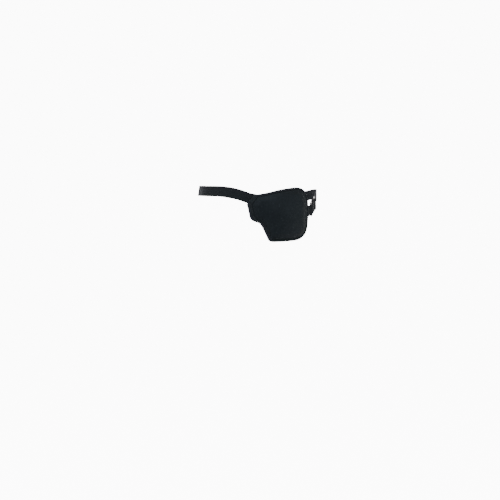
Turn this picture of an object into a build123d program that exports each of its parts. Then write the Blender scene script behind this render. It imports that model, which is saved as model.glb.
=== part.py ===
"""Contoured fabric eye patch for the wearer's left eye, on an adjustable elastic head strap.

The patch is a domed sandwich of cover, foam and lining, bound with tape all round. The strap is sewn behind
its upper nose-side corner, goes round the head above both ears and comes back through a ring that hangs in a
short tab on the patch's outer edge. Behind the ring the strap's end is sewn round the middle bar of a slider.

Frame: the wearer faces -Y and +Z is up. The origin is the middle of the head at the level of the pupils, so
the covered eye is at +X. Sizes are in millimetres.
"""

import os
from math import cos, exp, radians, sin, sqrt

from build123d import *

os.makedirs("parts", exist_ok=True)

# ---- the face that the patch is moulded to ----
FACE_HALF_WIDTH = 74.0  # ellipse in plan that the patch and the forehead strap lie on
FACE_DEPTH = 78.0
FACE_CENTRE_Y = -22.0
EYE_X, EYE_Z = 34.0, 3.0  # middle of the cup
CUP_HEIGHT = 7.0  # how far the cup stands off the ellipse over the eye
CUP_RADIUS = 25.0
UPRIGHT_CURVE = 0.0035  # the patch falls back this much, per square mm, above and below the eye

# ---- the patch's layers ----
PLY = 0.6  # cover and lining
FOAM = 2.0
STACK = PLY + FOAM + PLY
TAPE = 0.5  # thickness of the edge binding
TAPE_WIDTH = 3.0  # how far the binding reaches in from the edge
PATCH_TURN = 35.0  # the outline is cut along this heading, half way round the wrap

# ---- elastic webbing ----
WEB_WIDTH = 14.0
WEB = 0.9  # thickness of the strap
TAB_WEB = 0.8  # thickness of the side tab
STRAP_CLEAR = 0.5  # from the patch's skin side to the strap behind it
TAB_CLEAR = 0.9  # the same for the doubled tab
STRAP_LEAN = 8.0  # degrees that the strap leans in over the skull

# ---- ring, hung on the outer edge; lengths along the strap are measured from its front bar ----
RING_AT = (70.5, -50.0, 10.0)  # middle of the ring's front bar
SIDE_HEADING, SIDE_RISE = 82.0, 14.0  # degrees: the strap's direction from the ring, in plan and upwards
RING_WIRE = 1.0  # radius
RING_BARS = 7.5  # from the front bar to the rear bar
RING_HALF = 8.6  # half of the ring's height, to the middle of the wire
RING_CORNER = 2.2
TAB_FOLD = 1.25  # inside radius of the tab's fold round the front bar
STRAP_FOLD = 1.6  # inside radius of the strap's fold round the rear bar
FOLD_END = 12.0  # where the two legs of the fold stop

# ---- slider ----
SLIDER_AT = 30.0  # its middle bar
SLIDER_PITCH = 6.0  # from the middle bar to each end bar
SLIDER_HEIGHT = 19.4
SLIDER_BAR = 1.5  # width and thickness of its bars
SLIDER_SLOT = 15.0  # height of its two slots
SLIDER_RISE = 1.2  # its mid-plane lies this far outside the strap's
SEWN_FOLD = 0.9  # inside radius of the strap's sewn end round the middle bar
SEWN_END = 21.5  # the front of the sewn, doubled strap

# ---- where the strap bends behind the slider's run ----
RUN_END = 72.0
OPEN_GAP = 0.3  # between the two lengths of strap there

# ---- thread ----
STITCH = 1.7
STITCH_PITCH = 2.6
THREAD = 0.35


def surface_y(x, z, offset):
    """Y of the patch's skin side moved out by offset, at that x and z."""
    half_width, depth = FACE_HALF_WIDTH + offset, FACE_DEPTH + offset
    wrap = depth * sqrt(1 - (x / half_width) ** 2)
    cup = CUP_HEIGHT * exp(-((x - EYE_X) ** 2 + (z - EYE_Z) ** 2) / CUP_RADIUS**2)
    return FACE_CENTRE_Y - wrap - cup + UPRIGHT_CURVE * (z - EYE_Z) ** 2


def slab(inner, outer):
    """The curved sheet between two offsets of the patch's skin side, larger than the outline all round."""
    heights = [-38, -28, -18, -8, 3, 14, 24, 34, 46]
    with BuildPart() as sheet:
        for x in (-22, -12, -2, 9, 20, 30, 39, 47, 54, 60, 64.5, 68.5):
            with BuildSketch(Plane.YZ.offset(x)):
                with BuildLine():
                    front = Spline(*[(surface_y(x, z, outer), z) for z in heights])
                    back = Spline(*[(surface_y(x, z, inner), z) for z in heights])
                    Line(front @ 0, back @ 0)
                    Line(front @ 1, back @ 1)
                make_face()
        loft()
    return sheet.part


# The outline lies in a plane that faces the middle of the wrap.
outward = Vector(sin(radians(PATCH_TURN)), -cos(radians(PATCH_TURN)), 0)
along = Vector(cos(radians(PATCH_TURN)), sin(radians(PATCH_TURN)), 0)
outline_plane = Plane(origin=(33, -95, 0), x_dir=along, z_dir=outward)

RIM = (
    (-33.0, 30.2),
    (-19.0, 33.0),
    (-3.5, 36.7),
    (12.0, 39.0),
    (26.0, 39.8),
    (37.5, 36.3),
    (43.6, 28.0),
    (44.9, 12.0),
    (44.0, -6.0),
    (40.6, -19.0),
    (30.5, -27.0),
    (14.5, -30.0),
    (-2.0, -30.8),
    (-16.0, -31.1),
)
NOSE_SIDE = ((-29.3, -5.8), (-38.2, -3.9), (-41.0, 18.2))  # round the nose, then down to the strap's corner
CORNER_RADII = (5.0, -3.5, 6.5, 1.5, 2.0)  # from the rim's lower end to its upper end; negative is hollow


def inward(way):
    """The direction into the patch, for one along its outline."""
    return Vector(way.Y, -way.X).normalized()


def mitred(point, before, after, inset):
    """A corner of the outline, moved in by the inset from both of its sides."""
    sides = inward(before) + inward(after)
    return point + sides * (inset / (1 + inward(before).dot(inward(after))))


def patch_outline(inset):
    """The outline moved in by the inset."""
    rim = Spline(*RIM, mode=Mode.PRIVATE)
    corners = [rim @ 1, *(Vector(*corner) for corner in NOSE_SIDE), rim @ 0]
    ways = [rim % 1, *(end - start for start, end in zip(corners, corners[1:])), rim % 0]
    moved = [mitred(corner, ways[i], ways[i + 1], inset) for i, corner in enumerate(corners)]
    between = [Vector(*point) + inward(rim.tangent_at(Vector(*point))) * inset for point in RIM[1:-1]]
    with BuildSketch() as outline:
        with BuildLine():
            Spline(moved[-1], *between, moved[0], tangents=(rim % 0, rim % 1))
            Polyline(*moved)
        make_face()
        for corner, radius in zip(moved, CORNER_RADII):
            nearest = outline.vertices().sort_by_distance(corner)[0]
            fillet(nearest, radius=max(radius - inset, 0.4) if radius > 0 else inset - radius)
    return outline.sketch


def on_patch(sketch):
    """A flat sketch placed on the outline's plane, well behind the patch."""
    return outline_plane.offset(-70) * sketch


def cut_layer(sketch, inner, outer):
    """The part of a slab that lies inside the sketch."""
    with BuildPart() as layer:
        add(slab(inner, outer))
        extrude(on_patch(sketch), amount=140, mode=Mode.INTERSECT)
    return layer


# ---- patch ----
inner_lining = cut_layer(patch_outline(TAPE), 0, PLY)
foam_core = cut_layer(patch_outline(TAPE), PLY, PLY + FOAM)
front_cover = cut_layer(patch_outline(TAPE), PLY + FOAM, STACK)

with BuildPart() as edge_binding:
    add(cut_layer(patch_outline(0), -TAPE, STACK + TAPE).part)
    extrude(on_patch(patch_outline(TAPE_WIDTH)), amount=140, mode=Mode.SUBTRACT)
    add(cut_layer(patch_outline(TAPE), 0, STACK).part, mode=Mode.SUBTRACT)


# ---- strap and hardware at the side ----
heading, rise = radians(SIDE_HEADING), radians(SIDE_RISE)
strap_way = Vector(cos(rise) * cos(heading), cos(rise) * sin(heading), sin(rise))
side_out = Vector(sin(heading), -cos(heading), 0)
side_plane = Plane(origin=RING_AT, x_dir=strap_way, z_dir=side_out)  # x along the strap, y along the bars
edge_on = Plane(origin=RING_AT, x_dir=strap_way, z_dir=strap_way.cross(side_out))  # x along, y outwards

with BuildSketch(side_plane) as ring_shape:
    with Locations((RING_BARS / 2, 0)):
        RectangleRounded(RING_BARS, 2 * RING_HALF, RING_CORNER)

with BuildPart() as ring:
    with BuildLine() as ring_path:
        add(ring_shape.sketch.face().outer_wire())
    with BuildSketch(ring_path.line ^ 0):
        Circle(RING_WIRE)
    sweep()

with BuildPart() as slider:
    with BuildSketch(side_plane.offset(SLIDER_RISE - SLIDER_BAR / 2)):
        with Locations((SLIDER_AT, 0)):
            RectangleRounded(2 * SLIDER_PITCH + SLIDER_BAR, SLIDER_HEIGHT, 2.8)
        with Locations((SLIDER_AT - SLIDER_PITCH / 2, 0), (SLIDER_AT + SLIDER_PITCH / 2, 0)):
            RectangleRounded(SLIDER_PITCH - SLIDER_BAR, SLIDER_SLOT, 0.8, mode=Mode.SUBTRACT)
    extrude(amount=SLIDER_BAR)
    fillet(slider.edges().filter_by(Axis((0, 0, 0), side_out), reverse=True), radius=0.45)


def webbing(profile):
    """A strip of webbing, its edge-on profile extruded to the webbing's width."""
    with BuildPart() as strip:
        extrude(edge_on * profile, amount=WEB_WIDTH / 2, both=True)
    return strip


# The tab is doubled webbing: sewn flat behind the patch's edge, open round the ring's front bar.
tab_depth = -TAPE - TAB_WEB - TAB_CLEAR
tab_root = [
    edge_on.to_local_coords(Vector(x, surface_y(x, RING_AT[2] - 3, tab_depth), RING_AT[2] - 3))
    for x in (58.8, 61.0, 63.0)
]
tab_neck = Vector(-4.4, -1.9)
with BuildSketch() as tab_profile:
    Circle(TAB_FOLD + TAB_WEB)
    with Locations(tab_neck):
        Circle(TAB_WEB)
    make_hull()
    with BuildLine() as tab_line:
        Spline(*[(p.X, p.Y) for p in tab_root], tab_neck)
    trace(tab_line.line, line_width=2 * TAB_WEB)
    with BuildSketch(mode=Mode.PRIVATE) as tab_eye:
        Circle(TAB_FOLD)
        with Locations(tab_neck * 0.75):
            Circle(0.1)
        make_hull()
    add(tab_eye.sketch, mode=Mode.SUBTRACT)
side_tab = webbing(tab_profile.sketch)

leg = STRAP_FOLD + WEB / 2
hump = SLIDER_RISE + SEWN_FOLD + 1.5 * WEB + 0.1
under = SLIDER_RISE - SLIDER_BAR / 2 - WEB / 2 - 0.05
with BuildSketch() as fold_profile:
    with BuildLine() as fold_line:
        Line((FOLD_END, leg), (RING_BARS, leg))
        ThreePointArc((RING_BARS, leg), (RING_BARS - leg, 0), (RING_BARS, -leg))
        Line((RING_BARS, -leg), (FOLD_END, -leg))
    trace(fold_line.line, line_width=WEB)
strap_ring_fold = webbing(fold_profile.sketch)

with BuildSketch() as run_profile:
    with BuildLine() as run_line:
        FilletPolyline(
            (FOLD_END + 0.05, leg),
            (FOLD_END + 2.0, leg),
            (SLIDER_AT - SLIDER_PITCH - 2.2, under),
            (SLIDER_AT - SLIDER_PITCH + 1.0, under),
            (SLIDER_AT - 2.4, hump),
            (SLIDER_AT + 2.4, hump),
            (SLIDER_AT + SLIDER_PITCH - 1.0, under),
            (SLIDER_AT + SLIDER_PITCH + 3.0, under),
            (SLIDER_AT + SLIDER_PITCH + 9.0, 0),
            (RUN_END, 0),
            radius=[1.5, 4.0, 1.0, 0.9, 0.9, 1.0, 10.0, 10.0],
        )
    trace(run_line.line, line_width=WEB)
strap_slider_run = webbing(run_profile.sketch)

with BuildSketch() as return_profile:
    with Locations(((FOLD_END + SEWN_END) / 2, -leg)):
        Rectangle(SEWN_END - FOLD_END - 0.1, WEB)
strap_return_run = webbing(return_profile.sketch)

bar_middle = Vector(SLIDER_AT, SLIDER_RISE)
sewn_neck = Vector(SLIDER_AT - 1.6, SLIDER_RISE - 2.1)
with BuildSketch() as sewn_profile:
    with Locations(bar_middle):
        Circle(SEWN_FOLD + WEB)
    with Locations(sewn_neck):
        Circle(WEB)
    make_hull()
    with BuildLine() as sewn_line:
        FilletPolyline(
            sewn_neck, (SLIDER_AT - 3.4, WEB / 2 - leg), (SEWN_END, WEB / 2 - leg), radius=1.5
        )
    trace(sewn_line.line, line_width=2 * WEB)
    with BuildSketch(mode=Mode.PRIVATE) as sewn_eye:
        with Locations(bar_middle):
            Circle(SEWN_FOLD)
        with Locations(bar_middle + (sewn_neck - bar_middle) * 0.7):
            Circle(0.1)
        make_hull()
    add(sewn_eye.sketch, mode=Mode.SUBTRACT)
strap_sewn_end = webbing(sewn_profile.sketch)


# ---- the strap round the head ----
def under_patch(x, z):
    """A point of the strap's middle where it lies on the forehead and behind the patch's corner."""
    return Vector(x, surface_y(x, z, -TAPE - STRAP_CLEAR - WEB / 2), z)


strap_start = side_plane.from_local_coords(Vector(RUN_END + OPEN_GAP, 0, 0))
strap_route = [
    strap_start,
    side_plane.from_local_coords(Vector(RUN_END + 4, 0, 0)),
    side_plane.from_local_coords(Vector(RUN_END + 8, 0, 0)),
    Vector(79.0, 45.0, 30.6),
    Vector(67.0, 73.0, 27.6),
    Vector(44.0, 92.5, 23.6),
    Vector(15.0, 101.8, 21.3),
    Vector(-12.0, 101.6, 25.4),
    Vector(-36.0, 95.3, 31.0),
    Vector(-56.0, 82.5, 34.0),
    Vector(-71.0, 62.5, 35.2),
    Vector(-79.0, 35.0, 35.4),
    Vector(-80.3, 6.0, 35.3),
    Vector(-76.5, -24.0, 35.2),
    Vector(-70.3, -46.5, 35.0),
    under_patch(-60.3, 34.8),
    under_patch(-46.9, 34.4),
    under_patch(-35.0, 32.8),
    under_patch(-23.5, 29.9),
    under_patch(-11.7, 25.7),
    under_patch(0.5, 21.4),
]
STRAP_STATIONS = 60
FOREHEAD_FROM = 0.80  # share of the strap's length after which it lies flat on the forehead's curve
with BuildLine() as strap_line:
    Spline(*strap_route)


def face_normal(x, z, offset):
    """Outward direction of the patch's surface, and its slopes along x and z."""
    step = 0.05
    slope_x = (surface_y(x + step, z, offset) - surface_y(x - step, z, offset)) / (2 * step)
    slope_z = (surface_y(x, z + step, offset) - surface_y(x, z - step, offset)) / (2 * step)
    return Vector(slope_x, -1, slope_z).normalized(), slope_x, slope_z


with BuildPart() as head_strap:
    for station in range(STRAP_STATIONS + 1):
        share = station / STRAP_STATIONS
        spot, way = strap_line.line @ share, strap_line.line % share
        lean = radians(STRAP_LEAN) * min(1, share / 0.2) ** 2
        out = way.cross(Vector(0, 0, 1)).normalized()
        out = out * cos(lean) + out.cross(way) * sin(lean)
        on_forehead = min(1, max(0, (share - FOREHEAD_FROM) / 0.06))
        if on_forehead:
            out = out * (1 - on_forehead) + face_normal(spot.X, spot.Z, -TAPE - WEB / 2)[0] * on_forehead
        with BuildSketch(Plane(origin=spot, x_dir=out - way * out.dot(way), z_dir=way)):
            Rectangle(WEB, WEB_WIDTH)
    loft()


# ---- stitching ----
def on_surface(x, z, offset, heading):
    """A plane on the patch's surface, its x along the heading (in x and z) and its z outwards."""
    normal, slope_x, slope_z = face_normal(x, z, offset)
    way = Vector(heading[0], heading[0] * slope_x + heading[1] * slope_z, heading[1])
    return Plane(origin=Vector(x, surface_y(x, z, offset), z), x_dir=way, z_dir=normal)


def drop(point, offset):
    """X and Z where a point of the outline's plane meets the patch's surface."""
    start = outline_plane.from_local_coords(point)
    near, far = -60.0, 60.0
    while far - near > 0.001:
        depth = (near + far) / 2
        spot = start + outward * depth
        inside = abs(spot.X) < FACE_HALF_WIDTH and spot.Y > surface_y(spot.X, spot.Z, offset)
        near, far = (depth, far) if inside else (near, depth)
    return spot.X, spot.Z


def stitches(planes):
    """One short length of thread on each plane."""
    with BuildPart() as thread:
        with Locations(*planes):
            Box(STITCH, THREAD, THREAD)
    return thread


stitch_wire = patch_outline(0.6 * TAPE_WIDTH).face().outer_wire()
stitch_count = int(stitch_wire.length / STITCH_PITCH)
edge_planes = []
for i in range(stitch_count):
    here, ahead = (
        drop(stitch_wire.position_at((i + shift) / stitch_count), STACK + TAPE) for shift in (0.4, 0.6)
    )
    way = (ahead[0] - here[0], ahead[1] - here[1])
    middle = ((here[0] + ahead[0]) / 2, (here[1] + ahead[1]) / 2)
    edge_planes.append(on_surface(*middle, STACK + TAPE + THREAD / 2, way))
edge_stitching = stitches(edge_planes)

# Three rows across the strap's end, on its skin side.
strap_slope = (-0.33, -0.94)
corner_stitching = stitches(
    [
        on_surface(
            -6.5 + 3.2 * row - 2.2 * step * strap_slope[0],
            23.9 - 1.15 * row - 2.2 * step * strap_slope[1],
            -TAPE - STRAP_CLEAR - WEB - 0.15,
            strap_slope,
        )
        for row in range(3)
        for step in range(-2, 3)
    ]
)

# Two rows across the tab's root, on its skin side, and two across the strap's sewn end.
tab_way = (tab_root[2] - tab_root[0]).normalized()
tab_skin = tab_root[0] + Vector(tab_way.Y, -tab_way.X) * (TAB_WEB + THREAD / 2)
tab_rows = [tab_skin + tab_way * along_tab for along_tab in (1.5, 4.5)]
sewn_rows = [Vector(SEWN_END + 1.5 + 1.8 * row, -leg - (WEB + THREAD) / 2) for row in range(2)]


def across(rows):
    """Stitches in rows across the webbing, at places given along it and outwards."""
    spots = [Vector(row.X, 2.3 * step, row.Y) for row in rows for step in range(-2, 3)]
    return [
        Plane(origin=side_plane.from_local_coords(spot), x_dir=side_plane.y_dir, z_dir=side_out)
        for spot in spots
    ]


tab_stitching = stitches(across(tab_rows))
strap_end_stitching = stitches(across(sewn_rows))

pieces = {
    "inner_lining": inner_lining,
    "foam_core": foam_core,
    "front_cover": front_cover,
    "edge_binding": edge_binding,
    "edge_stitching": edge_stitching,
    "head_strap": head_strap,
    "corner_stitching": corner_stitching,
    "side_tab": side_tab,
    "tab_stitching": tab_stitching,
    "ring": ring,
    "strap_ring_fold": strap_ring_fold,
    "strap_slider_run": strap_slider_run,
    "strap_return_run": strap_return_run,
    "slider": slider,
    "strap_sewn_end": strap_sewn_end,
    "strap_end_stitching": strap_end_stitching,
}

for name, piece in pieces.items():
    piece.part.label = name
    export_step(piece.part, f"parts/{name}.step")
    print(name, piece.part.is_valid, len(piece.part.solids()), round(piece.part.volume, 1))
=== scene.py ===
"""Looks for the eye patch: padded cloth patch, bound edge, sewing, ribbed elastic strap, ring and slider."""

from math import cos, radians, sin, tau

import bpy
import numpy as np
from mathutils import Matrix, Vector


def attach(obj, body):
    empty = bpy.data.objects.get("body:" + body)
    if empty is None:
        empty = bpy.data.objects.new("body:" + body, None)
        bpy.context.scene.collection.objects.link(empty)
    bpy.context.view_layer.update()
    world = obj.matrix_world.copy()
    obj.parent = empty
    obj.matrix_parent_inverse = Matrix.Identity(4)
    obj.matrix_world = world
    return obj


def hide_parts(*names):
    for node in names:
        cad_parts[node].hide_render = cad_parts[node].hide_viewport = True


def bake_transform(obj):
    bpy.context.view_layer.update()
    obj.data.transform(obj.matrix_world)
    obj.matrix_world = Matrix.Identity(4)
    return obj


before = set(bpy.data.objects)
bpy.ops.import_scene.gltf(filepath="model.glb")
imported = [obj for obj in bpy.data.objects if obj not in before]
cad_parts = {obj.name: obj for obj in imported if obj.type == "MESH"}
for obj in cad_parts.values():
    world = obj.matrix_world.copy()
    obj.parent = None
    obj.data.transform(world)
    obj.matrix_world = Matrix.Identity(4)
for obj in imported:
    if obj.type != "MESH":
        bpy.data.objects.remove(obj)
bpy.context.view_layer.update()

MM = 0.001  # lengths below are in millimetres until a mesh is made

# ---- the patch's surface and outline, as the CAD has them ----
FACE_HALF_WIDTH, FACE_DEPTH, FACE_CENTRE_Y = 74.0, 78.0, -22.0
EYE_X, EYE_Z = 34.0, 3.0
CUP_HEIGHT, CUP_RADIUS = 7.0, 25.0
UPRIGHT_CURVE = 0.0035
STACK = 3.2  # cover, foam and lining
TAPE = 0.5  # the binding's thickness
PAD_BACK, LINING_FRONT = 0.75, 0.62  # where the cover's pad and the lining meet, hidden inside
PATCH_TURN = radians(35)
PATCH_ORIGIN = np.array([33.0, -95.0, 0.0])
ALONG = np.array([cos(PATCH_TURN), sin(PATCH_TURN), 0.0])
OUTWARD = np.array([sin(PATCH_TURN), -cos(PATCH_TURN), 0.0])
RIM = [
    (-33.0, 30.2), (-19.0, 33.0), (-3.5, 36.7), (12.0, 39.0), (26.0, 39.8), (37.5, 36.3), (43.6, 28.0),
    (44.9, 12.0), (44.0, -6.0), (40.6, -19.0), (30.5, -27.0), (14.5, -30.0), (-2.0, -30.8), (-16.0, -31.1),
]
NOSE_SIDE = [(-29.3, -5.8), (-38.2, -3.9), (-41.0, 18.2)]
CORNER_SPREADS = [3.1, 2.3, 4.0, 0.9, 1.3]  # how widely each sewn corner is rounded off

# ---- the strap and its hardware ----
WEB_WIDTH, WEB, TAB_WEB = 14.0, 0.9, 0.8
STRAP_CLEAR, TAB_CLEAR = 0.5, 0.9  # from the patch's skin side to the strap and to the tab behind it
RING_AT = np.array([70.5, -50.0, 10.0])
HEADING, RISE = radians(82), radians(14)
STRAP_WAY = np.array([cos(RISE) * cos(HEADING), cos(RISE) * sin(HEADING), sin(RISE)])
SIDE_OUT = np.array([sin(HEADING), -cos(HEADING), 0.0])
BAR_WAY = np.cross(SIDE_OUT, STRAP_WAY)
RING_BARS, SLIDER_AT, SLIDER_RISE = 7.5, 30.0, 1.2
FOLD, SEWN_FOLD = 2.05, 1.35  # to the webbing's middle: round the ring's rear bar, round the slider's bar
SLIDER_FROM, SLIDER_TO = 23.5, 40.0  # the slider carries the strap between these, along its run
RUN_END, BEND_END = 72.0, 80.0  # the strap bends at the end of its side run
STRAP_LEAN = radians(8)


# ---------------------------------------------------------------- shapes
def surface_y(x, z, offset):
    """Y of the patch's skin side moved out by offset."""
    half_width, depth = FACE_HALF_WIDTH + offset, FACE_DEPTH + offset
    wrap = depth * np.sqrt(np.maximum(1 - (x / half_width) ** 2, 0))
    cup = CUP_HEIGHT * np.exp(-((x - EYE_X) ** 2 + (z - EYE_Z) ** 2) / CUP_RADIUS**2)
    return FACE_CENTRE_Y - wrap - cup + UPRIGHT_CURVE * (z - EYE_Z) ** 2


def surface_normal(x, z, offset):
    """Outward unit normals of the patch's surface."""
    step = 0.05
    slope_x = (surface_y(x + step, z, offset) - surface_y(x - step, z, offset)) / (2 * step)
    slope_z = (surface_y(x, z + step, offset) - surface_y(x, z - step, offset)) / (2 * step)
    normal = np.stack([slope_x, -np.ones_like(slope_x), slope_z], axis=-1)
    return normal / np.linalg.norm(normal, axis=-1, keepdims=True)


def on_patch(flat, offset):
    """Points of the outline's plane carried out to the patch's surface at an offset."""
    start = PATCH_ORIGIN + flat[:, :1] * ALONG + flat[:, 1:] * np.array([0.0, 0.0, 1.0])
    near, far = np.full(len(flat), -60.0), np.full(len(flat), 60.0)
    for _ in range(26):
        depth = (near + far) / 2
        spot = start + depth[:, None] * OUTWARD
        inside = (np.abs(spot[:, 0]) < FACE_HALF_WIDTH) & (
            spot[:, 1] > surface_y(spot[:, 0], spot[:, 2], offset)
        )
        near, far = np.where(inside, depth, near), np.where(inside, far, depth)
    return spot


def unit(rows):
    return rows / np.linalg.norm(rows, axis=-1, keepdims=True)


def curve_through(points, pitch):
    """A smooth curve through the points, as points a pitch apart."""
    points = np.array(points, float)
    spans = np.linalg.norm(np.diff(points, axis=0), axis=1)
    count = len(points)
    system, right = np.eye(count), np.zeros_like(points)
    for i in range(1, count - 1):
        before, after = spans[i - 1], spans[i]
        system[i, i - 1 : i + 2] = before, 2 * (before + after), after
        right[i] = 6 * ((points[i + 1] - points[i]) / after - (points[i] - points[i - 1]) / before)
    bend = np.linalg.solve(system, right)
    pieces = []
    for i, span in enumerate(spans):
        t = np.linspace(0, 1, 60, endpoint=i == count - 2)[:, None]
        s = 1 - t
        bulge = (s**3 - s) * bend[i] + (t**3 - t) * bend[i + 1]
        pieces.append(s * points[i] + t * points[i + 1] + span**2 / 6 * bulge)
    return evenly(np.concatenate(pieces), pitch)


def evenly(points, pitch):
    """The same line with its points a pitch apart, first and last kept."""
    along = np.r_[0, np.cumsum(np.linalg.norm(np.diff(points, axis=0), axis=1))]
    spots = np.linspace(0, along[-1], max(2, round(along[-1] / pitch) + 1))
    return np.stack([np.interp(spots, along, points[:, k]) for k in range(points.shape[1])], axis=1)


def closed_evenly(points, count):
    """A closed line with a given number of evenly spaced points."""
    looped = np.concatenate([points, points[:1]])
    along = np.r_[0, np.cumsum(np.linalg.norm(np.diff(looped, axis=0), axis=1))]
    spots = np.arange(count) / count * along[-1]
    return np.stack([np.interp(spots, along, looped[:, k]) for k in range(2)], axis=1), along[-1]


def smooth_loop(values, spreads, spacing):
    """Values round a closed line, each averaged with its neighbours over its own spread."""
    count = len(values)
    steps = np.arange(count)
    gap = np.abs(steps[:, None] - steps[None, :])
    gap = np.minimum(gap, count - gap) * spacing
    weights = np.exp(-(gap**2) / (2 * np.asarray(spreads)[:, None] ** 2))
    return weights @ values / weights.sum(axis=1, keepdims=True)


def outline_points():
    """The patch's outline in its own plane, corners rounded as sewing rounds them, and its length."""
    rim = curve_through(RIM, 0.25)
    corners = np.array([rim[-1], *NOSE_SIDE, rim[0]])
    rough, length = closed_evenly(np.concatenate([rim, evenly(corners, 0.25)[1:-1]]), 1056)
    spacing = length / len(rough)
    spreads = np.full(len(rough), 0.4)
    for corner, spread in zip(corners, CORNER_SPREADS):
        away = np.linalg.norm(rough - corner, axis=1)
        spreads = np.maximum(spreads, spread * np.exp(-((away / (4.0 * spread)) ** 2)))
    return closed_evenly(smooth_loop(rough, spreads, spacing), 720)


OUTLINE, PERIMETER = outline_points()
SPACING = PERIMETER / len(OUTLINE)
ways = unit(np.roll(OUTLINE, -1, axis=0) - np.roll(OUTLINE, 1, axis=0))
INWARD = unit(smooth_loop(np.stack([ways[:, 1], -ways[:, 0]], axis=1), np.full(len(OUTLINE), 2.6), SPACING))


def inset(distance):
    """The outline moved in, fanned out softly at its corners."""
    return OUTLINE + INWARD * distance


def to_edge(flat):
    """How far points of the outline's plane are from the outline."""
    return np.min(np.linalg.norm(flat[:, None, :] - OUTLINE[None, ::3, :], axis=2), axis=1)


# ---------------------------------------------------------------- meshes
def make_mesh(name, points, faces, uv=None, wear=None):
    """A mesh object from millimetre points, with cloth coordinates and a wear value per point if given."""
    mesh = bpy.data.meshes.new(name)
    mesh.from_pydata((np.asarray(points) * MM).tolist(), [], [list(map(int, face)) for face in faces])
    if uv is not None:
        layer = mesh.uv_layers.new(name="cloth")
        loops = np.zeros(len(mesh.loops), int)
        mesh.loops.foreach_get("vertex_index", loops)
        layer.data.foreach_set("uv", np.asarray(uv, float)[loops].ravel())
    if wear is not None:
        mesh.attributes.new("wear", "FLOAT", "POINT").data.foreach_set("value", np.asarray(wear, float))
    mesh.polygons.foreach_set("use_smooth", [True] * len(mesh.polygons))
    mesh.update()
    made = bpy.data.objects.new(name, mesh)
    bpy.context.scene.collection.objects.link(made)
    return made


def grid_faces(rows, columns, close_rows=False, close_columns=False):
    """Quads between rows of points; a closed direction joins its last line to its first."""
    down = rows if close_rows else rows - 1
    across = columns if close_columns else columns - 1
    i, j = np.meshgrid(np.arange(down), np.arange(across), indexing="ij")
    ahead, beside = (i + 1) % rows, (j + 1) % columns
    corners = [i * columns + j, i * columns + beside, ahead * columns + beside, ahead * columns + j]
    return np.stack([c.ravel() for c in corners], axis=1)


def put(thing, body, slot, material, *nodes):
    """Give a piece its body and its material, and hide the CAD nodes it stands for; the slot is not used."""
    thing.data.materials.append(material)
    if nodes:
        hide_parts(*nodes)
    if body:
        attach(thing, body)
    return thing


# ---------------------------------------------------------------- materials
class Shader:
    """A node material, built a node at a time."""

    def __init__(self, name):
        self.material = bpy.data.materials.new(name)
        self.material.use_nodes = True
        self.tree = self.material.node_tree
        self.tree.nodes.clear()
        self.out = self.tree.nodes.new("ShaderNodeOutputMaterial")
        self.skin = self.tree.nodes.new("ShaderNodeBsdfPrincipled")
        self.tree.links.new(self.skin.outputs[0], self.out.inputs[0])

    def node(self, kind, settings=None, **inputs):
        made = self.tree.nodes.new("ShaderNode" + kind)
        for key, value in (settings or {}).items():
            setattr(made, key, value)
        for key, value in inputs.items():
            self.feed(made.inputs[int(key[1:]) if key[0] == "i" and key[1:].isdigit() else key], value)
        return made

    def feed(self, socket, value):
        if isinstance(value, bpy.types.NodeSocket):
            self.tree.links.new(value, socket)
        else:
            socket.default_value = value

    def math(self, operation, a, b=0.0, c=0.0):
        return self.node("Math", {"operation": operation}, i0=a, i1=b, i2=c).outputs[0]

    def coordinates(self):
        """The cloth coordinates, in millimetres: along and across."""
        place = self.node("UVMap", {"uv_map": "cloth"}).outputs[0]
        split = self.node("SeparateXYZ", i0=place)
        return place, split.outputs[0], split.outputs[1]

    def noise(self, place, scale, detail=3.0, rough=0.55):
        made = self.node("TexNoise", Vector=place, Scale=scale, Detail=detail, Roughness=rough)
        return made.outputs["Fac"]

    def ridge(self, value, pitch):
        """A wave from 0 to 1 that repeats each pitch."""
        turned = self.math("MULTIPLY", value, tau / pitch)
        return self.math("MULTIPLY_ADD", self.math("SINE", turned), 0.5, 0.5)

    def shades(self, value, stops):
        """Colours or greys picked by a value, from (position, colour) pairs."""
        ramp = self.node("ValToRGB", Fac=value)
        band = ramp.color_ramp
        while len(band.elements) < len(stops):
            band.elements.new(0.5)
        for element, (position, shade) in zip(band.elements, stops):
            element.position = position
            element.color = shade
        return ramp.outputs[0]

    def mix(self, share, a, b):
        made = self.node("Mix", {"data_type": "RGBA"})
        for socket, value in ((made.inputs[0], share), (made.inputs[6], a), (made.inputs[7], b)):
            self.feed(socket, value)
        return made.outputs[2]

    def bump(self, height, distance, strength=1.0, under=None):
        made = self.node("Bump", Height=height, Distance=distance, Strength=strength)
        if under is not None:
            self.feed(made.inputs["Normal"], under)
        return made.outputs[0]

    def finish(self, **inputs):
        for key, value in inputs.items():
            self.feed(self.skin.inputs[key.replace("_", " ")], value)
        return self.material


def grey(level, tint=(1.0, 1.0, 1.0)):
    return (level * tint[0], level * tint[1], level * tint[2], 1)


COOL = (0.86, 1.0, 1.18)


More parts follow.
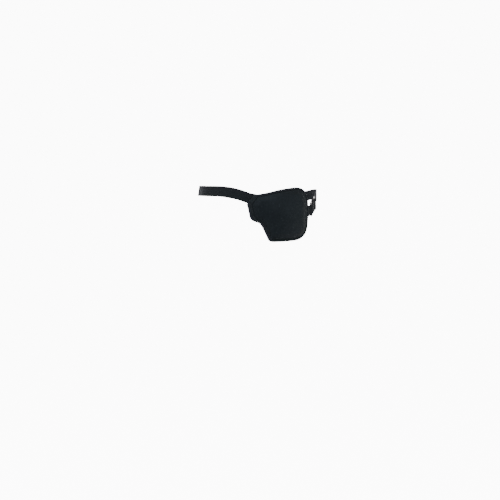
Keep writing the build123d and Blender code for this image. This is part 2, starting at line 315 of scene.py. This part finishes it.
def knit_material(name, dark, light, pitch, rough, sheen, gloss):
    """Close knitted cloth: staggered loops, loose fibres, faint mottling, and fading where it is rubbed."""
    s = Shader(name)
    place, along, across = s.coordinates()
    wobble = s.noise(place, 0.9, 2.0)
    course = s.math("ADD", across, s.math("MULTIPLY", wobble, 0.22 * pitch))
    wales = s.ridge(along, pitch)
    stagger = s.math("ADD", course, s.math("MULTIPLY", wales, 0.5 * pitch))
    loops = s.math("MULTIPLY", wales, s.ridge(stagger, 0.8 * pitch))
    fibres = s.noise(s.node("Mapping", i0=place, i3=(2.2, 6.5, 1.0)).outputs[0], 1.6, 5.0, 0.7)
    cloudy = s.noise(place, 0.05, 3.0)
    worn = s.node("Attribute", {"attribute_name": "wear"}).outputs["Fac"]
    tone = s.math("MULTIPLY_ADD", loops, 0.35, s.math("MULTIPLY", fibres, 0.4))
    tone = s.math("ADD", tone, s.math("MULTIPLY", cloudy, 0.35))
    tone = s.math("ADD", tone, s.math("MULTIPLY", worn, s.math("MULTIPLY", fibres, 0.9)))
    colour = s.shades(tone, [(0.2, grey(dark, COOL)), (0.95, grey(light, COOL))])
    lint = s.math("GREATER_THAN", s.noise(place, 1.9, 1.0), 0.803)
    colour = s.mix(s.math("MULTIPLY", lint, 0.3), colour, grey(0.09))
    creases = s.bump(s.noise(place, 0.11, 2.0), 0.5 * MM, 0.55)
    fuzz = s.bump(fibres, 0.05 * MM, 0.7, creases)
    return s.finish(
        Base_Color=colour,
        Roughness=s.math("MULTIPLY_ADD", cloudy, 0.16, rough),
        Sheen_Weight=sheen,
        Sheen_Roughness=0.42,
        Sheen_Tint=(0.80, 0.90, 1.0, 1),
        Specular_IOR_Level=gloss,
        Specular_Tint=(0.62, 0.84, 1.0, 1),
        Normal=s.bump(loops, 0.07 * MM, 0.9, fuzz),
    )


def elastic_material(name):
    """Woven elastic: picks across the ribs, rubber glinting between them, and pale fluff on the edges."""
    s = Shader(name)
    place, along, across = s.coordinates()
    wander = s.math("MULTIPLY", s.noise(place, 0.6, 2.0), 0.25)
    ribs = s.ridge(across, 1.0)
    picks = s.ridge(s.math("ADD", along, s.math("ADD", wander, s.math("MULTIPLY", ribs, 0.34))), 0.68)
    cross = s.ridge(s.math("ADD", along, wander), 1.36)
    fibres = s.noise(s.node("Mapping", i0=place, i3=(5.5, 1.8, 1.0)).outputs[0], 1.7, 5.0, 0.7)
    cloudy = s.noise(place, 0.08, 3.0)
    worn = s.node("Attribute", {"attribute_name": "wear"}).outputs["Fac"]
    weave = s.math("MULTIPLY_ADD", picks, 0.6, s.math("MULTIPLY", s.math("MULTIPLY", cross, ribs), 0.4))
    tone = s.math("ADD", s.math("MULTIPLY", weave, 0.45), s.math("MULTIPLY", fibres, 0.35))
    tone = s.math("ADD", tone, s.math("MULTIPLY_ADD", cloudy, 0.25, s.math("MULTIPLY", worn, 0.25)))
    colour = s.shades(tone, [(0.25, grey(0.0032, COOL)), (1.0, grey(0.0140, COOL))])
    fuzz = s.bump(fibres, 0.06 * MM, 0.7)
    return s.finish(
        Base_Color=colour,
        Roughness=s.math("MULTIPLY_ADD", weave, -0.16, 0.68),
        Sheen_Weight=0.03,
        Sheen_Roughness=0.5,
        Sheen_Tint=(0.82, 0.90, 1.0, 1),
        Specular_IOR_Level=0.11,
        Specular_Tint=(0.72, 0.88, 1.0, 1),
        Normal=s.bump(weave, 0.10 * MM, 1.0, fuzz),
    )


def thread_material(name):
    """Twisted sewing thread."""
    s = Shader(name)
    place, along, across = s.coordinates()
    twist = s.ridge(s.math("ADD", along, s.math("MULTIPLY", across, 0.35)), 0.34)
    fibres = s.noise(place, 7.0, 4.0, 0.7)
    colour = s.shades(
        s.math("MULTIPLY_ADD", twist, 0.6, s.math("MULTIPLY", fibres, 0.4)),
        [(0.1, grey(0.006, COOL)), (0.9, grey(0.028, COOL))],
    )
    return s.finish(
        Base_Color=colour,
        Roughness=s.math("MULTIPLY_ADD", fibres, 0.2, 0.36),
        Sheen_Weight=0.04,
        Specular_IOR_Level=0.35,
        Normal=s.bump(twist, 0.05 * MM, 0.9),
    )


def moulded_material(name, level, rough, coat, grain):
    """Moulded plastic: faint flow marks, fine grain, hairline scratches, and edges rubbed shiny."""
    s = Shader(name)
    place = s.node("TexCoord").outputs["Object"]
    flow = s.noise(place, 260.0, 3.0)
    fine = s.noise(place, 5200.0, 2.0)
    stretched = s.node("Mapping", i0=place, i2=(0.3, 0.5, 0.9), i3=(2600.0, 240.0, 900.0)).outputs[0]
    scratches = s.shades(s.noise(stretched, 1.0, 2.0), [(0.66, grey(0.0)), (0.72, grey(1.0))])
    edges = s.shades(s.node("NewGeometry").outputs["Pointiness"], [(0.50, grey(0.0)), (0.62, grey(1.0))])
    dull = s.math("MULTIPLY_ADD", flow, 0.10, rough)
    dull = s.math("ADD", dull, s.math("MULTIPLY", scratches, 0.22))
    colour = s.mix(s.math("MULTIPLY", edges, 0.35), grey(level), grey(level * 2.6))
    colour = s.mix(s.math("MULTIPLY", scratches, 0.25), colour, grey(level * 4))
    return s.finish(
        Base_Color=colour,
        Roughness=s.math("SUBTRACT", dull, s.math("MULTIPLY", edges, 0.06)),
        Coat_Weight=coat,
        Coat_Roughness=0.08,
        Specular_IOR_Level=0.6,
        Normal=s.bump(fine, 0.02 * MM, grain, s.bump(flow, 0.10 * MM, 0.35)),
    )


COVER = knit_material("cover_knit", 0.0033, 0.0118, 0.62, 0.46, 0.028, 0.115)
LINING = knit_material("lining_brushed", 0.0046, 0.0180, 0.80, 0.78, 0.09, 0.10)
BINDING = knit_material("binding_knit", 0.0034, 0.0126, 0.55, 0.52, 0.035, 0.115)
ELASTIC = elastic_material("ribbed_elastic")
THREAD = thread_material("sewing_thread")
RING_FINISH = moulded_material("ring_gloss", 0.0060, 0.10, 0.55, 0.10)
SLIDER_FINISH = moulded_material("slider_satin", 0.0085, 0.27, 0.15, 0.30)


# ---------------------------------------------------------------- the pad
SETTLE_FRAMES = 22


def settle(points, faces, pinned, cap, growth, pressure):
    """The points after the cloth has taken up its slack, no point moved further than the cap."""
    scale = 0.02  # cloth simulates best when the piece is a unit or so across
    mesh = bpy.data.meshes.new("settling")
    mesh.from_pydata((points * scale).tolist(), [], [list(map(int, face)) for face in faces])
    cloth_object = bpy.data.objects.new("settling", mesh)
    bpy.context.scene.collection.objects.link(cloth_object)
    group = cloth_object.vertex_groups.new(name="held")
    for step in range(1, 11):
        held = np.flatnonzero(np.round(pinned * 10) == step)
        group.add(held.tolist(), step / 10, "REPLACE")
    modifier = cloth_object.modifiers.new("Cloth", "CLOTH")
    cloth = modifier.settings
    cloth.quality = 8
    cloth.mass = 0.15
    cloth.tension_stiffness = cloth.compression_stiffness = 25
    cloth.shear_stiffness = 8
    cloth.bending_stiffness = 1.2
    cloth.vertex_group_mass = "held"
    cloth.pin_stiffness = 2.0
    cloth.shrink_min = -growth
    cloth.use_pressure = True
    cloth.uniform_pressure_force = pressure
    cloth.effector_weights.gravity = 0
    scene = bpy.context.scene
    modifier.point_cache.frame_start, modifier.point_cache.frame_end = 1, SETTLE_FRAMES
    for number in range(1, SETTLE_FRAMES + 1):
        scene.frame_set(number)
    settled = cloth_object.evaluated_get(bpy.context.evaluated_depsgraph_get()).to_mesh()
    after = np.zeros(len(points) * 3)
    settled.vertices.foreach_get("co", after)
    moved = after.reshape(-1, 3) / scale - points
    reach = np.linalg.norm(moved, axis=1, keepdims=True)
    bpy.data.objects.remove(cloth_object)
    bpy.data.meshes.remove(mesh)
    scene.frame_set(1)
    return points + moved * np.minimum(1, cap / np.maximum(reach, 1e-9))


PUFF = 0.75  # the cover swells this much between its sewn edges
CENTRE = np.array([4.0, 3.0])
EDGE_STEPS = [1.8, 2.3, 2.7, 3.0, 3.3, 3.7, 4.3, 5.2, 6.4]
HIDDEN_STEPS = [2.2, 4.0, 6.4]
RING_COUNT = 30
LOOP = slice(None, None, 2)


def layer_rings(steps):
    """Rings of points over the patch, from its sewn edge to the middle, in the outline's plane."""
    rings = [inset(step)[LOOP] for step in steps]
    for share in np.linspace(0, 1, RING_COUNT + 1)[1:-1]:
        rings.append(CENTRE + (rings[len(steps) - 1] - CENTRE) * (1 - share))
    return rings


def cover_offset(flat):
    """How far the cover stands off the skin side: sunk at the seam, swelling inside it, and a soft valley."""
    depth = to_edge(flat)
    swell = STACK - 0.28 + (PUFF + 0.28) * (1 - np.exp(-np.maximum(depth - 2.7, 0) / 2.6))
    spot = on_patch(flat, STACK)
    valley = np.exp(-(((spot[:, 0] - 9.5 + 0.12 * (spot[:, 2] - 6)) / 8.0) ** 2))
    valley = valley * np.exp(-(((spot[:, 2] - 4) / 24.0) ** 2))
    lobe = np.exp(-(((spot[:, 0] + 4.0) / 9.0) ** 2) - ((spot[:, 2] - 13) / 14.0) ** 2)
    return swell - (1.25 * valley - 0.45 * lobe) * np.clip((depth - 3) / 6, 0, 1), depth


def unwrapped(spots):
    """Cloth coordinates over the patch: distance round the wrap, and height."""
    sweep = np.linspace(-40, 72, 600)
    run = np.r_[0, np.cumsum(np.hypot(np.diff(sweep), np.diff(surface_y(sweep, 3.0, STACK))))]
    return np.stack([np.interp(spots[:, 0], sweep, run), spots[:, 2]], axis=1)


def evened_middle(points, settled, columns):
    """Settled points, with the crowded rings at the middle of each layer moving as one."""
    moved = (settled - points)[:-2].reshape(-1, columns, 3)
    for layer in (slice(0, RING_COUNT), slice(len(moved) - RING_COUNT, len(moved))):
        rings = moved[layer]
        order = range(len(rings)) if layer.start == 0 else range(len(rings) - 1, -1, -1)
        mean = rings[list(order)[9]].mean(axis=0)
        for step, ring in enumerate(order):
            share = min(1.0, max(0.0, (10 - step) / 6))
            rings[ring] = rings[ring] * (1 - share) + mean * share
    ends = [points[-2] + moved[0].mean(axis=0), points[-1] + moved[-1].mean(axis=0)]
    return np.concatenate([points[:-2] + moved.reshape(-1, 3), ends])


def closed_pad(name, front_offset, back_offset, front_steps, back_steps, simulate=None):
    """A closed pad: a front and a back, each of rings from the seam to the middle."""
    rings, depths = [], []
    for flat in reversed(layer_rings(back_steps)):
        rings.append(on_patch(flat, back_offset(flat)))
        depths.append(np.full(len(flat), -1.0))
    for flat in layer_rings(front_steps):
        offset, depth = front_offset(flat)
        rings.append(on_patch(flat, offset))
        depths.append(depth)
    columns = len(rings[0])
    points, depths = np.concatenate(rings), np.concatenate(depths)
    faces = [face[::-1] for face in grid_faces(len(rings), columns, close_columns=True).tolist()]
    ends = [points[:columns].mean(axis=0), points[-columns:].mean(axis=0)]
    last = len(points) - columns
    for i in range(columns):
        ahead = (i + 1) % columns
        faces.append([len(points), i, ahead])
        faces.append([len(points) + 1, last + ahead, last + i])
    points = np.concatenate([points, ends])
    depths = np.r_[depths, -1.0, depths[-1]]
    if simulate:
        pinned = np.where(depths < 0, 1.0, 1 - np.clip((depths - 3.2) / 4.0, 0, 0.995))
        settled = settle(points, faces, pinned, **simulate)
        points = evened_middle(points, settled, columns)
    worn = np.exp(-np.abs(depths - 3.4) / 1.6) * 0.35
    return make_mesh(name, points, faces, unwrapped(points), np.where(depths < 0, 0, worn))


cover = closed_pad(
    "pad_cover",
    cover_offset,
    lambda flat: np.full(len(flat), PAD_BACK),
    EDGE_STEPS,
    HIDDEN_STEPS,
    {"cap": 0.9, "growth": 0.012, "pressure": 1.2},
)
put(cover, "patch", "cover_cloth", COVER, "front_cover", "foam_core")


def lining_offset(flat):
    """The skin side is softly quilted out between its sewn edges."""
    depth = to_edge(flat)
    return -0.35 * (1 - np.exp(-np.maximum(depth - 2.7, 0) / 2.5)) + 0.22 * np.exp(-np.abs(depth - 2.8))


lining = closed_pad(
    "pad_lining",
    lambda flat: (np.full(len(flat), LINING_FRONT), np.full(len(flat), 9.0)),
    lining_offset,
    HIDDEN_STEPS,
    EDGE_STEPS,
)
put(lining, "patch", "lining_cloth", LINING, "inner_lining")

# ---- the folded tape round the edge: (inset, offset) round its section, from the front seam to the back ----
TAPE_SECTION = [
    (3.05, 2.75), (3.0, 3.25), (2.85, 3.55), (2.5, 3.72), (2.05, 3.78), (1.6, 3.78), (1.1, 3.72),
    (0.65, 3.55), (0.28, 3.2), (0.07, 2.7), (0.0, 2.0), (0.0, 1.2), (0.07, 0.5), (0.28, 0.0), (0.65, -0.3),
    (1.1, -0.45), (1.6, -0.5), (2.05, -0.5), (2.5, -0.45), (2.85, -0.3), (3.0, 0.0), (3.05, 0.4),
]
STITCH_INSET = 1.8
STITCH_PITCH = 2.6
STITCH_COUNT = round(PERIMETER / STITCH_PITCH)
SEAM_OFFSET = 3.70  # the seam's thread lies this far out from the skin side
STITCH_LENGTH = 1.9
SEAM_THREAD, WEB_THREAD = 0.19, 0.17  # radii


def tape_ring(section_inset, section_offset):
    """One line of the tape, pulled in a little at each stitch hole."""
    along = np.arange(len(OUTLINE)) / len(OUTLINE)
    hole = np.cos(tau * (along * STITCH_COUNT)) ** 2
    near_seam = np.exp(-(((section_inset - STITCH_INSET) / 0.7) ** 2))
    ease = 0.06 * np.sin(tau * along * 23) + 0.05 * np.sin(tau * along * 41 + 1.3)
    pull = (0.16 * hole * near_seam + ease * np.exp(-section_inset / 2)) * np.sign(section_offset - 1.6)
    return on_patch(inset(section_inset), section_offset - pull)


tape_rings = [tape_ring(*spot) for spot in TAPE_SECTION]
tape_points = np.concatenate(tape_rings)
section_run = np.r_[0, np.cumsum(np.hypot(*np.diff(np.array(TAPE_SECTION), axis=0).T))]
tape_uv = np.concatenate(
    [np.stack([np.arange(len(OUTLINE)) * SPACING, np.full(len(OUTLINE), run)], axis=1) for run in section_run]
)
tape_wear = np.concatenate([np.full(len(OUTLINE), np.exp(-spot[0] / 0.5) * 0.8) for spot in TAPE_SECTION])
tape_faces = grid_faces(len(tape_rings), len(OUTLINE), close_rows=True, close_columns=True)
tape = make_mesh(
    "edge_tape",
    tape_points,
    [face[::-1] for face in tape_faces.tolist()],
    tape_uv,
    tape_wear,
)
put(tape, "patch", "binding_tape", BINDING, "edge_binding")


# ---------------------------------------------------------------- sewing
def stitch_row(name, places, length, radius):
    """Separate stitches of round thread; each place is (middle, along, outward)."""
    rings, sides = 9, 8
    points, faces, uv = [], [], []
    for number, (middle, along, outward) in enumerate(places):
        along, outward = unit(np.array(along)), unit(np.array(outward))
        beside = np.cross(outward, along)
        for ring in range(rings):
            share = ring / (rings - 1) * 2 - 1
            size = radius * np.sqrt(max(1 - abs(share) ** 6, 0.02))
            core = middle + along * share * length / 2 + outward * (0.16 - 0.34 * share**4)
            for side in range(sides):
                turn = tau * side / sides
                points.append(core + size * (beside * cos(turn) + outward * sin(turn)))
                uv.append((share * length / 2 + number * 0.7, turn))
        base = number * rings * sides
        faces.extend((grid_faces(rings, sides, close_columns=True) + base).tolist())
        faces.append([base + side for side in range(sides)])
        faces.append([base + (rings - 1) * sides + side for side in reversed(range(sides))])
    return make_mesh(name, np.array(points), faces, uv)


seam = inset(STITCH_INSET)
seam_spots = (np.arange(STITCH_COUNT) + 0.25) / STITCH_COUNT * len(OUTLINE)
seam_steps = np.arange(len(OUTLINE) + 1)
seam_loop = np.concatenate([seam, seam[:1]])


def seam_at(spots):
    spots = np.mod(spots, len(OUTLINE))
    return np.stack([np.interp(spots, seam_steps, seam_loop[:, k]) for k in range(2)], axis=1)


seam_front = on_patch(seam_at(seam_spots), SEAM_OFFSET)
seam_way = on_patch(seam_at(seam_spots + 1.2), SEAM_OFFSET) - on_patch(seam_at(seam_spots - 1.2), SEAM_OFFSET)
seam_out = surface_normal(seam_front[:, 0], seam_front[:, 2], SEAM_OFFSET)
edge_sewing = stitch_row("edge_sewing", list(zip(seam_front, seam_way, seam_out)), STITCH_LENGTH, SEAM_THREAD)
put(edge_sewing, "patch", "thread", THREAD, "edge_stitching")


# ---------------------------------------------------------------- webbing
def webbing(name, middles, outs, thickness, start_run=0.0, cut=(True, True)):
    """Ribbed elastic webbing along a line of points, with thicker cords at its two edges."""
    middles = np.asarray(middles)
    ways = unit(np.gradient(middles, axis=0))
    outs = unit(outs - ways * np.sum(outs * ways, axis=1, keepdims=True))
    beside = np.cross(ways, outs)
    half = WEB_WIDTH / 2
    across = np.linspace(-half + 0.25, half - 0.25, 57)
    rib = np.abs(np.cos(np.pi * across / 1.0)) ** 0.7
    edge = np.exp(-(((np.abs(across) - half + 0.55) / 0.35) ** 2))
    face = thickness / 2 * (0.80 + 0.20 * rib) + 0.03 * edge
    face[0] = face[-1] = thickness * 0.34
    section = [(a, f) for a, f in zip(across, face)] + [(half - 0.04, thickness * 0.16), (half, 0.0)]
    section += [(half - 0.04, -thickness * 0.16)] + [(a, -f) for a, f in zip(across[::-1], face[::-1])]
    section += [(-half + 0.04, -thickness * 0.16), (-half, 0.0), (-half + 0.04, thickness * 0.16)]
    section = np.array(section)
    points = (
        middles[:, None, :]
        + beside[:, None, :] * section[None, :, :1]
        + outs[:, None, :] * section[None, :, 1:]
    )
    run = start_run + np.r_[0, np.cumsum(np.linalg.norm(np.diff(middles, axis=0), axis=1))]
    uv = np.zeros((len(middles), len(section), 2))
    uv[:, :, 0] = run[:, None]
    uv[:, :, 1] = section[None, :, 0] + half + np.where(section[None, :, 1] < 0, 20.0, 0.0)
    worn = np.exp(-(half - np.abs(section[:, 0])) / 0.5)
    wear = np.broadcast_to(worn, (len(middles), len(section)))
    faces = grid_faces(len(middles), len(section), close_columns=True).tolist()
    around = list(range(len(section)))
    last = (len(points) - 1) * len(section)
    ends = (around[::-1], [last + k for k in around])
    caps = [end for end, wanted in zip(ends, cut) if wanted]
    return make_mesh(name, points.reshape(-1, 3), faces + caps, uv.reshape(-1, 2), wear.ravel())


def rounded(corners, radii):
    """A flat line with its corners rounded, as closely spaced points."""
    corners = [np.array(corner, float) for corner in corners]
    points = [corners[0]]
    for before, corner, after, radius in zip(corners, corners[1:], corners[2:], radii):
        entry, leave = unit(before - corner), unit(after - corner)
        half_angle = np.arccos(np.clip(entry @ leave, -1, 1)) / 2
        reach = radius / np.tan(half_angle)
        start, end = corner + entry * reach, corner + leave * reach
        middle = corner + unit(entry + leave) * radius / np.sin(half_angle)
        first, last = start - middle, end - middle
        turn = np.arctan2(first[0] * last[1] - first[1] * last[0], first @ last)
        for share in np.linspace(0, 1, 14):
            c, s = cos(turn * share), sin(turn * share)
            points.append(middle + np.array([c * first[0] - s * first[1], s * first[0] + c * first[1]]))
    return np.array(points + [corners[-1]])


def round_bar(centre, radius, start, end):
    """Points round a bar, between two angles in degrees."""
    turns = np.radians(np.linspace(start, end, 40))
    return np.array(centre) + radius * np.stack([np.cos(turns), np.sin(turns)], axis=1)


def side_line(flat, pitch=0.25):
    """Webbing middles and outward directions in space, from a line drawn edge-on at the side of the head."""
    flat = evenly(np.asarray(flat), pitch)
    ways = unit(np.gradient(flat, axis=0))
    middles = RING_AT + flat[:, :1] * STRAP_WAY + flat[:, 1:] * SIDE_OUT
    outs = -ways[:, 1:] * STRAP_WAY + ways[:, :1] * SIDE_OUT
    return middles, outs


def side_point(x, y=0.0, z=0.0):
    return RING_AT + x * STRAP_WAY + y * BAR_WAY + z * SIDE_OUT


UNDER = SLIDER_RISE - 0.75 - WEB / 2 - 0.05
HUMP = SLIDER_RISE + SEWN_FOLD + WEB + 0.1
over_slider = rounded(
    [
        (SLIDER_TO, UNDER), (35.0, UNDER), (32.4, HUMP), (27.6, HUMP), (25.0, UNDER), (21.8, UNDER),
        (14.0, FOLD), (RING_BARS, FOLD),
    ],
    [1.3, 1.2, 1.2, 1.3, 4.0, 3.0],
)
sewn = rounded(
    [(RING_BARS, -FOLD), (27.3, -FOLD), (30.87, 0.17), (31.4, 0.8)],
    [2.5, 1.5],
)[:-16]
bar_loop = round_bar((SLIDER_AT, SLIDER_RISE), SEWN_FOLD, -50, 163)
sewn_tail = rounded([bar_loop[-1], (27.7, -1.12), (20.9, -1.12)], [1.6])
side_path = np.concatenate([
    over_slider[:-1],
    round_bar((RING_BARS, 0.0), FOLD, 90, 270),
    sewn[1:],
    bar_loop,
    sewn_tail[1:],
])
side_web = webbing("strap_side_loop", *side_line(side_path), WEB, cut=(False, True))
side_web.data.materials.append(ELASTIC)
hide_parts("strap_ring_fold", "strap_return_run", "strap_sewn_end", "strap_slider_run")
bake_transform(side_web)

rear_path = np.array([(SLIDER_TO, UNDER), (45.0, -0.01), (55.0, 0.0), (RUN_END, 0.0)])
rear_run = webbing("strap_rear_run", *side_line(rear_path), WEB, cut=(False, False))
rear_run.data.materials.append(ELASTIC)
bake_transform(rear_run)


# ---- the strap round the head ----
def under_patch(x, z):
    return np.array([x, surface_y(x, z, -TAPE - WEB / 2 - STRAP_CLEAR), z])


HEAD_ROUTE = [
    side_point(RUN_END),
    side_point(RUN_END + 4),
    side_point(BEND_END),
    (79.0, 45.0, 30.6),
    (67.0, 73.0, 27.6),
    (44.0, 92.5, 23.6),
    (15.0, 101.8, 21.3),
    (-12.0, 101.6, 25.4),
    (-36.0, 95.3, 31.0),
    (-56.0, 82.5, 34.0),
    (-71.0, 62.5, 35.2),
    (-79.0, 35.0, 35.4),
    (-80.3, 6.0, 35.3),
    (-76.5, -24.0, 35.2),
    (-70.3, -46.5, 35.0),
    under_patch(-60.3, 34.8),
    under_patch(-46.9, 34.4),
    under_patch(-35.0, 32.8),
    under_patch(-23.5, 29.9),
    under_patch(-11.7, 25.7),
    under_patch(0.5, 21.4),
]
head_line = curve_through(HEAD_ROUTE, 1.0)
head_ways = unit(np.gradient(head_line, axis=0))
shares = np.linspace(0, 1, len(head_line))
leans = STRAP_LEAN * np.minimum(1, shares / 0.2) ** 2
level = unit(np.cross(head_ways, [0.0, 0.0, 1.0]))
head_outs = level * np.cos(leans)[:, None] + np.cross(level, head_ways) * np.sin(leans)[:, None]
flat_on = np.clip((shares - 0.80) / 0.06, 0, 1)[:, None]
brow = surface_normal(head_line[:, 0], head_line[:, 2], -TAPE - WEB / 2)
head_outs = head_outs * (1 - flat_on) + np.nan_to_num(brow) * flat_on
BACK = int(np.argmax(head_line[:, 1]))
left_half = webbing("strap_left_half", head_line[: BACK + 1], head_outs[: BACK + 1], WEB, cut=(False, False))
left_half.data.materials.append(ELASTIC)
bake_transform(left_half)
back_run = np.linalg.norm(np.diff(head_line[: BACK + 1], axis=0), axis=1).sum()
right_half = webbing(
    "strap_right_half", head_line[BACK:], head_outs[BACK:], WEB, start_run=back_run, cut=(False, True)
)
put(right_half, "patch", "elastic", ELASTIC, "head_strap")

# ---- the doubled tab that holds the ring ----
TAB_MIDDLE = TAB_WEB / 2 + 0.01
tab_root = []
for x in (58.8, 61.0, 63.0):
    root = np.array([x, surface_y(x, 7.0, -TAPE - TAB_WEB - TAB_CLEAR), 7.0]) - RING_AT
    tab_root.append((root @ STRAP_WAY, root @ SIDE_OUT))
tab_core = curve_through([*tab_root, (-4.4, -1.9), (-1.6, -0.7)], 0.2)
tab_ways = unit(np.gradient(tab_core, axis=0))
tab_side = np.stack([-tab_ways[:, 1], tab_ways[:, 0]], axis=1)
neck = int(np.argmin(np.abs(tab_core[:, 0] + 3.6)))
EYE = 1.25 + TAB_WEB / 2
eye_turn = np.degrees(np.arctan2(-0.7, -1.6))
tab_path = np.concatenate([
    (tab_core + tab_side * TAB_MIDDLE)[:neck],
    round_bar((0.0, 0.0), EYE, eye_turn - 55, eye_turn - 305),
    (tab_core - tab_side * TAB_MIDDLE)[:neck][::-1],
])
tab_middles, tab_outs = side_line(tab_path)
tab = webbing("ring_tab", tab_middles, tab_outs, TAB_WEB)
put(tab, "patch", "elastic", ELASTIC, "side_tab")

# ---- sewing on the webbing ----
corner_places = []
strap_slope = unit(np.array([-0.33, -0.94]))
for row in range(3):
    for step in range(-2, 3):
        x = -6.5 + 3.2 * row - 2.2 * step * strap_slope[0]
        z = 23.9 - 1.15 * row - 2.2 * step * strap_slope[1]
        middle = np.array([x, surface_y(x, z, -TAPE - WEB - 0.55), z])
        normal = surface_normal(np.array(x), np.array(z), 0.0)
        way = np.array([strap_slope[0], 0.0, strap_slope[1]])
        corner_places.append((middle, way - normal * (way @ normal), -normal))
corner_sewing = stitch_row("corner_sewing", corner_places, STITCH_LENGTH, SEAM_THREAD)
put(corner_sewing, "patch", "thread", THREAD, "corner_stitching")

tab_flat = unit(np.array(tab_root[2]) - np.array(tab_root[0]))
tab_places = []
for reach in (1.5, 4.5):
    spot = np.array(tab_root[0]) + tab_flat * reach + np.array([tab_flat[1], -tab_flat[0]]) * (TAB_WEB - 0.05)
    for step in range(-2, 3):
        normal = tab_flat[1] * STRAP_WAY - tab_flat[0] * SIDE_OUT
        tab_places.append((side_point(spot[0], 2.3 * step, spot[1]), BAR_WAY, normal))
tab_sewing = stitch_row("tab_sewing", tab_places, STITCH_LENGTH, WEB_THREAD)
put(tab_sewing, "patch", "thread", THREAD, "tab_stitching")

end_places = [
    (side_point(23.0 + 1.8 * row, 2.3 * step, -FOLD - WEB / 2 + 0.02), BAR_WAY, -SIDE_OUT)
    for row in range(2)
    for step in range(-2, 3)
]
end_sewing = stitch_row("strap_end_sewing", end_places, STITCH_LENGTH, WEB_THREAD)
put(end_sewing, "slider", "thread", THREAD, "strap_end_stitching")

# ---- ring and slider keep their CAD shapes ----
for node, finish in (("ring", RING_FINISH), ("slider", SLIDER_FINISH)):
    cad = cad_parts[node]
    cad.data.materials.clear()
    cad.data.materials.append(finish)


# ---------------------------------------------------------------- floor, light and camera
def pale_material(name, level, glow):
    """White studio paper, washed out to the eye as an overlit backdrop is."""
    s = Shader(name)
    place = s.node("TexCoord").outputs["Object"]
    seen = s.node("LightPath").outputs["Is Camera Ray"]
    return s.finish(
        Base_Color=s.shades(s.noise(place, 3.0), [(0.3, grey(level * 0.985)), (0.7, grey(level))]),
        Roughness=0.85,
        Specular_IOR_Level=0.1,
        Emission_Color=grey(1.0),
        Emission_Strength=s.math("MULTIPLY", seen, glow),
    )


BACKDROP_GLOW = 10.0
PALE = pale_material("paper", 0.93, BACKDROP_GLOW)
profile = [(-4.5, -0.32), (1.2, -0.32)]
profile += [(1.2 + 0.9 * sin(t), -0.32 + 0.9 * (1 - cos(t))) for t in np.linspace(0, np.pi / 2, 24)[1:]]
profile += [(2.1, 4.0)]
sweep_points = np.array([(side * 4.5, y, z) for y, z in profile for side in (-1, 1)]) / MM
paper = make_mesh("paper_sweep", sweep_points, grid_faces(len(profile), 2))
paper.data.materials.append(PALE)


def softbox(name, place, aim, size, power, tint=(1.0, 1.0, 1.0)):
    lamp = bpy.data.lights.new(name, "AREA")
    lamp.shape = "RECTANGLE"
    lamp.size, lamp.size_y = size
    lamp.energy = power
    lamp.color = tint
    made = bpy.data.objects.new(name, lamp)
    made.location = place
    made.rotation_euler = (Vector(aim) - Vector(place)).to_track_quat("-Z", "Y").to_euler()
    bpy.context.scene.collection.objects.link(made)


AIM = (0.0, -0.04, 0.01)
softbox("key", (-0.3, -1.3, 1.9), AIM, (1.0, 0.7), 44)
softbox("side", (1.7, -0.7, 0.7), AIM, (0.4, 1.0), 16)
softbox("fill", (-1.8, -0.9, 0.5), AIM, (0.9, 1.0), 15)
softbox("rear", (0.4, 1.7, 1.3), AIM, (1.2, 0.8), 14)

WORLD_LIGHT = 0.42
world = bpy.data.worlds.new("studio")
world.use_nodes = True
world.node_tree.nodes["Background"].inputs[0].default_value = (1, 1, 1, 1)
seen = world.node_tree.nodes.new("ShaderNodeLightPath").outputs["Is Camera Ray"]
strength = world.node_tree.nodes.new("ShaderNodeMath")
strength.operation = "MULTIPLY_ADD"
strength.inputs[1].default_value, strength.inputs[2].default_value = BACKDROP_GLOW, WORLD_LIGHT
world.node_tree.links.new(seen, strength.inputs[0])
world.node_tree.links.new(strength.outputs[0], world.node_tree.nodes["Background"].inputs[1])
bpy.context.scene.world = world

camera_data = bpy.data.cameras.new("camera")
camera_data.lens = 99.7
camera_data.sensor_width = 36.0
camera_data.clip_start, camera_data.clip_end = 0.01, 50.0
camera = bpy.data.objects.new("camera", camera_data)
camera.location = (-0.0104, -1.8851, 0.03695)
camera.rotation_euler = (radians(87.5), 0.0, 0.0)
bpy.context.scene.collection.objects.link(camera)
bpy.context.scene.camera = camera
